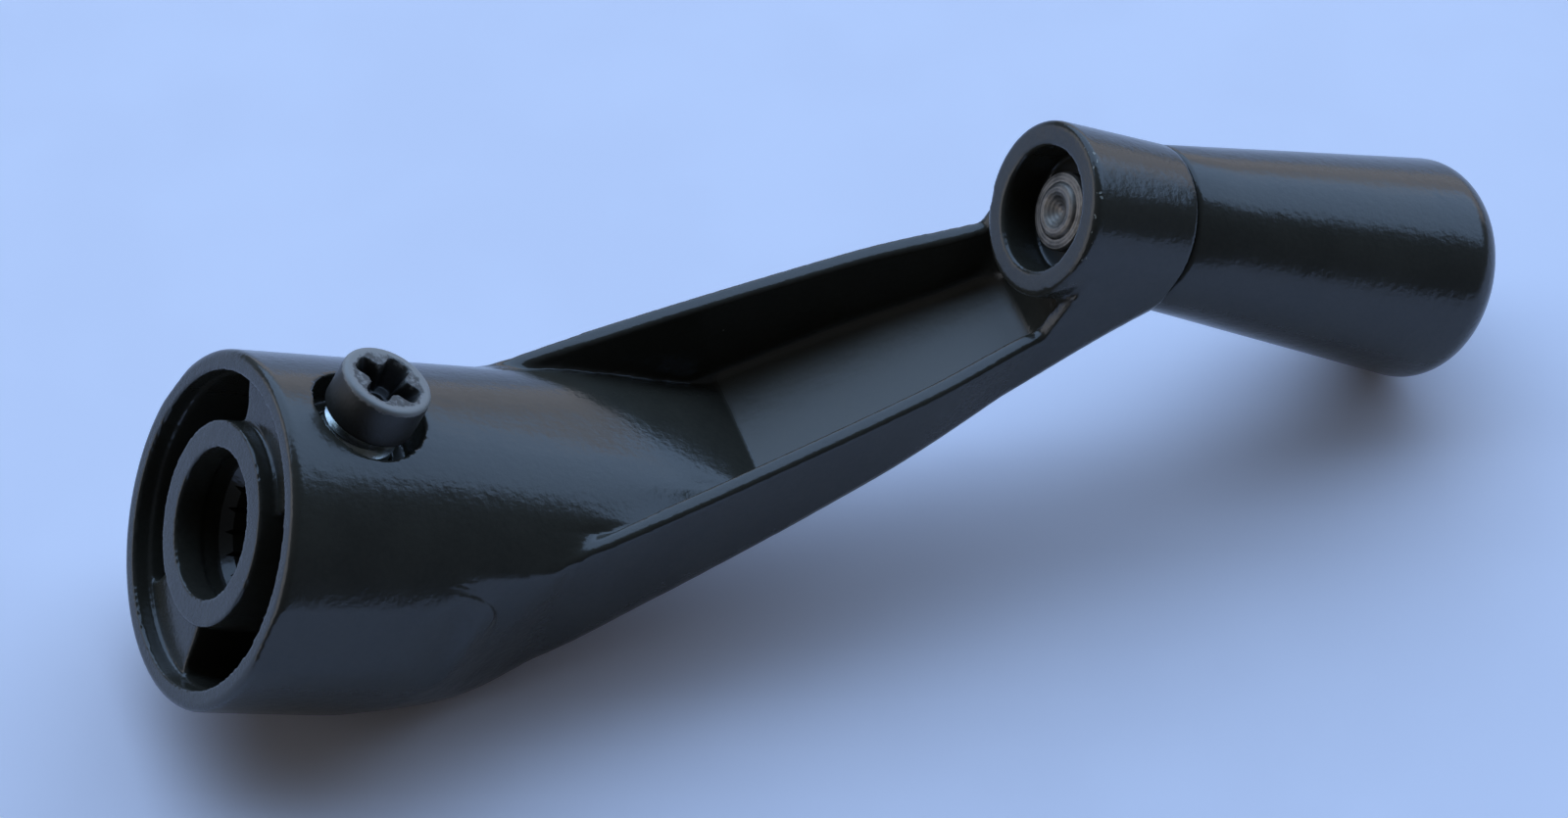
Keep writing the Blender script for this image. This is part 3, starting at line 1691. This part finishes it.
@dataclass
class Studio:
    """Camera, soft daylight and the pale sheet that the handle lies on."""

    camera_place: Triple = (-135.35, -189.7, 184.43)
    camera_right: Triple = (0.8198, -0.3364, 0.4634)
    camera_up: Triple = (-0.1024, 0.7101, 0.6966)
    focal_length: float = 101.34
    tilt: float = 30.3
    sheet_size: float = 900.0
    sheet_near: float = 88.0
    sheet_right: float = 190.0
    sheet_centre: Triple = (30.0, 0.0, 15.0)
    lit_centre: Triple = (40.0, 0.0, 12.0)
    room_colour: Colour = (0.80, 0.82, 0.80)
    room_level: float = 0.055
    backdrop: Colour = (0.46, 0.61, 0.96)
    backdrop_in_mirrors: float = 0.05
    lamps: tuple[Lamp, ...] = (
        Lamp("sky", (1.2, 3.16, 2.0), (10.4, 5.4), (0.40, 0.62, 1.0), 2.5, True),
        Lamp("sky_low", (1.2, 3.35, 0.50), (6.2, 1.15), (0.90, 0.88, 0.98), 0.98),
        Lamp("left_fill", (-3.2, -0.12, 0.40), (3.6, 1.3), (0.88, 0.90, 1.0), 1.3),
    )

    def sheet_axes(self) -> tuple[Vector, Vector, Vector]:
        """Directions of the sheet, for someone who looks along the camera.

        Returns:
            To the right, away and up from the sheet.
        """
        lean = math.radians(self.tilt)
        up = Vector((-math.sin(lean), 0, math.cos(lean)))
        right = Vector(self.camera_right)
        right = (right - up * right.dot(up)).normalized()
        return right, up.cross(right), up

    def lay_sheet(self, pieces: list[bpy.types.Object], finish: bpy.types.Material) -> None:
        """Lay the sheet against the lowest points of the handle as it rests.

        Args:
            pieces: The finished pieces that rest on it.
            finish: The sheet's material.
        """
        right, away, up = self.sheet_axes()
        height = min(up.dot(vert.co) for piece in pieces for vert in piece.data.vertices)
        centre = Vector(self.sheet_centre) * MM
        centre += up * (height - centre.dot(up))
        half = self.sheet_size / 2
        centre += right * (self.sheet_right - half) * MM + away * (half - self.sheet_near) * MM
        deselect_all()
        size = self.sheet_size * MM
        bpy.ops.mesh.primitive_grid_add(x_subdivisions=8, y_subdivisions=8, size=size)
        sheet = bpy.context.active_object
        sheet.name = "sheet"
        turn = Matrix((right, away, up)).transposed().to_4x4()
        sheet.matrix_world = Matrix.Translation(centre) @ turn
        bpy.ops.object.transform_apply(location=True, rotation=True, scale=True)
        sheet.data.materials.append(finish)

    def place_camera(self) -> None:
        """Set the camera at the photograph's viewing angle."""
        camera = bpy.data.cameras.new("camera")
        camera.lens = self.focal_length
        camera.sensor_width = 36.0
        camera.clip_start, camera.clip_end = 0.01, 20.0
        holder = bpy.data.objects.new("camera", camera)
        bpy.context.scene.collection.objects.link(holder)
        right, up = Vector(self.camera_right).normalized(), Vector(self.camera_up).normalized()
        turn = Matrix((right, up, right.cross(up))).transposed().to_4x4()
        holder.matrix_world = Matrix.Translation(Vector(self.camera_place) * MM) @ turn
        bpy.context.scene.camera = holder

    def hang_lamp(self, lamp: Lamp) -> None:
        """Hang one soft rectangular lamp.

        Args:
            lamp: The lamp.
        """
        right, away, up = self.sheet_axes()
        centre = Vector(self.lit_centre) * MM
        place = centre + right * lamp.place[0] + away * lamp.place[1] + up * lamp.place[2]
        back = up if lamp.faces_down else (place - centre).normalized()
        side = away.cross(back) if lamp.faces_down else up.cross(back)
        side.normalize()
        light = bpy.data.lights.new(lamp.name, "AREA")
        light.shape = "RECTANGLE"
        light.size, light.size_y = lamp.size
        light.color = lamp.colour
        light.energy = lamp.level * math.pi * lamp.size[0] * lamp.size[1]
        holder = bpy.data.objects.new(lamp.name, light)
        bpy.context.scene.collection.objects.link(holder)
        turn = Matrix((side, back.cross(side), back)).transposed().to_4x4()
        holder.matrix_world = Matrix.Translation(place) @ turn
        holder.visible_camera = False

    def light_world(self) -> None:
        """Dim room light, with a plain pale backdrop where the view passes the sheet."""
        world = bpy.data.worlds.new("room")
        bpy.context.scene.world = world
        world.use_nodes = True
        bench = NodeBench(world.node_tree, "ShaderNodeOutputWorld")
        room, backdrop = (
            bench.node("ShaderNodeBackground", None, {"Color": rgba(colour), "Strength": level})
            for colour, level in ((self.room_colour, self.room_level), (self.backdrop, 1.0))
        )
        path = bench.node("ShaderNodeLightPath").outputs
        camera, glossy, clear_ray = (
            Signal(bench, path[f"Is {kind} Ray"]) for kind in ("Camera", "Glossy", "Transmission")
        )
        share = camera.most(clear_ray).most(glossy * self.backdrop_in_mirrors)
        sockets = {0: share, 1: room.outputs[0], 2: backdrop.outputs[0]}
        bench.finish_with(bench.node("ShaderNodeMixShader", None, sockets))

    def build(self, pieces: list[bpy.types.Object], finish: bpy.types.Material) -> None:
        """Set the whole studio up.

        Args:
            pieces: The finished pieces.
            finish: The sheet's material.
        """
        self.lay_sheet(pieces, finish)
        self.place_camera()
        for lamp in self.lamps:
            self.hang_lamp(lamp)
        self.light_world()
        bpy.context.scene.view_settings.view_transform = "Standard"


def main() -> None:
    """Build every piece of the handle, then the studio."""
    logging.basicConfig(level=logging.INFO, format="%(name)s: %(message)s")
    form = CrankForm()
    rim = (form.boss_face_x + 0.15, form.crank_radius, form.boss_face_radius - 0.1)
    floor = (form.floor_foot_x, form.floor_foot_z, tan_deg(form.floor_slope))
    arm_enamel = BronzeEnamel("arm_enamel", chipped_rim=rim, filmed_floor=floor).make()
    knob_enamel = BronzeEnamel("knob_enamel").make()
    pieces = CrankArm(form, arm_enamel).build()
    head_enamel = WornEnamel(
        "screw_enamel", ClampScrew.x, ClampScrew.top_z, ClampScrew.head_radius
    ).make()
    pieces += ClampScrew(head_enamel, ZincPlate("zinc_plate").make()).build()
    pieces += SpinningKnob(form, knob_enamel).build()
    pieces += RivetedPin(form, RivetedSteel("pin_steel", form.crank_radius).make()).build()
    Studio().build(pieces, PaperSheet("pale_sheet").make())


if __name__ == "__main__":
    main()
